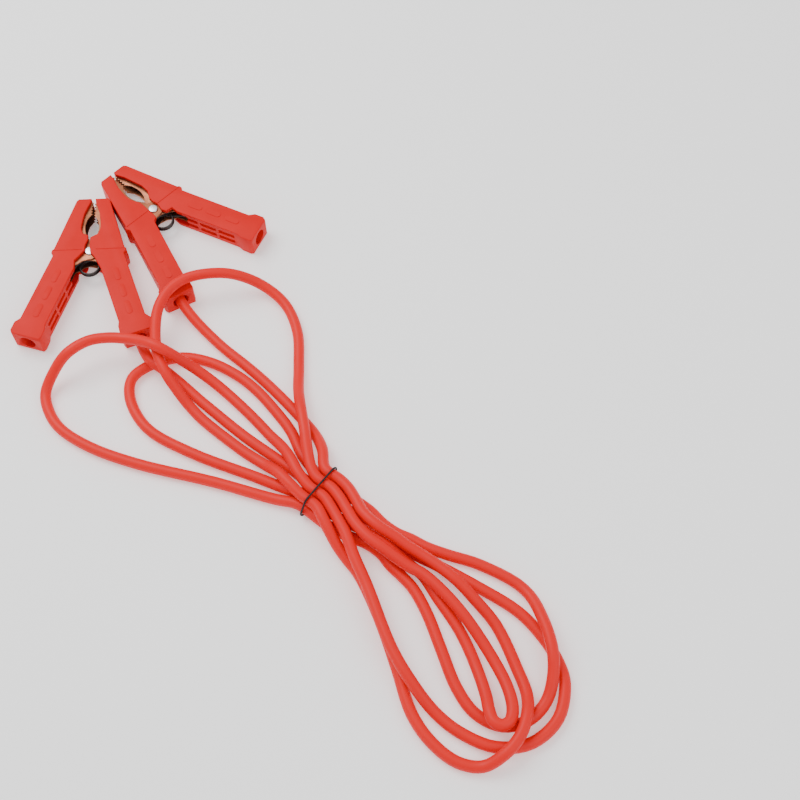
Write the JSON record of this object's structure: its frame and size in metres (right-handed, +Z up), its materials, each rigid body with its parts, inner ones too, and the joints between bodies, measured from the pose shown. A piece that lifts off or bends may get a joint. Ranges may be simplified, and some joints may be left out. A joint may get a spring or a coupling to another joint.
{
  "type": "car jumper cable",
  "caption": "Flexible red starter lead, looped and tied, with a spring clamp on each end for joining battery terminals.",
  "frame": {"origin": "on the floor under the middle of the clamps' outer box", "axes": "+Z up through the thickness of the clamps as they lie, +X along the longest side of the clamps' box, +Y towards the jaws of the first clamp"},
  "size_m": [0.4906, 0.5822, 0.0415],
  "materials": {
    "jaw_copper": "plated",
    "rivet_steel": "plain",
    "spring_steel": "oiled dark",
    "grip_red": "satin",
    "cable_red": "satin",
    "tie_black": "satin"
  },
  "bodies": {
    "lead": {"cable": "cable_red", "tie": "tie_black", "clamp_1_cable_jaw": "jaw_copper", "clamp_1_cable_grip": "grip_red", "clamp_1_rivet": "rivet_steel", "clamp_1_spring": "spring_steel", "clamp_2_cable_jaw": "jaw_copper", "clamp_2_cable_grip": "grip_red", "clamp_2_rivet": "rivet_steel", "clamp_2_spring": "spring_steel"},
    "clamp_1_free_arm": {"clamp_1_free_jaw": "jaw_copper", "clamp_1_free_grip": "grip_red"},
    "clamp_2_free_arm": {"clamp_2_free_jaw": "jaw_copper", "clamp_2_free_grip": "grip_red"}
  },
  "joints": [
    {"name": "clamp_1_hinge", "type": "hinge", "parent": "lead", "child": "clamp_1_free_arm", "pos_m": [-0.05209, -0.00026, 0.011], "axis": [0, 0, 1], "range_deg": [0, 25], "stiffness_Nm_per_rad": 2.5, "springref_deg": -34.38, "deforming": ["clamp_1_spring"]},
    {"name": "clamp_2_hinge", "type": "hinge", "parent": "lead", "child": "clamp_2_free_arm", "pos_m": [0.00331, 0.04974, 0.011], "axis": [0, 0, -1], "range_deg": [0, 25], "stiffness_Nm_per_rad": 2.5, "springref_deg": -34.38, "deforming": ["clamp_2_spring"]}
  ]
}
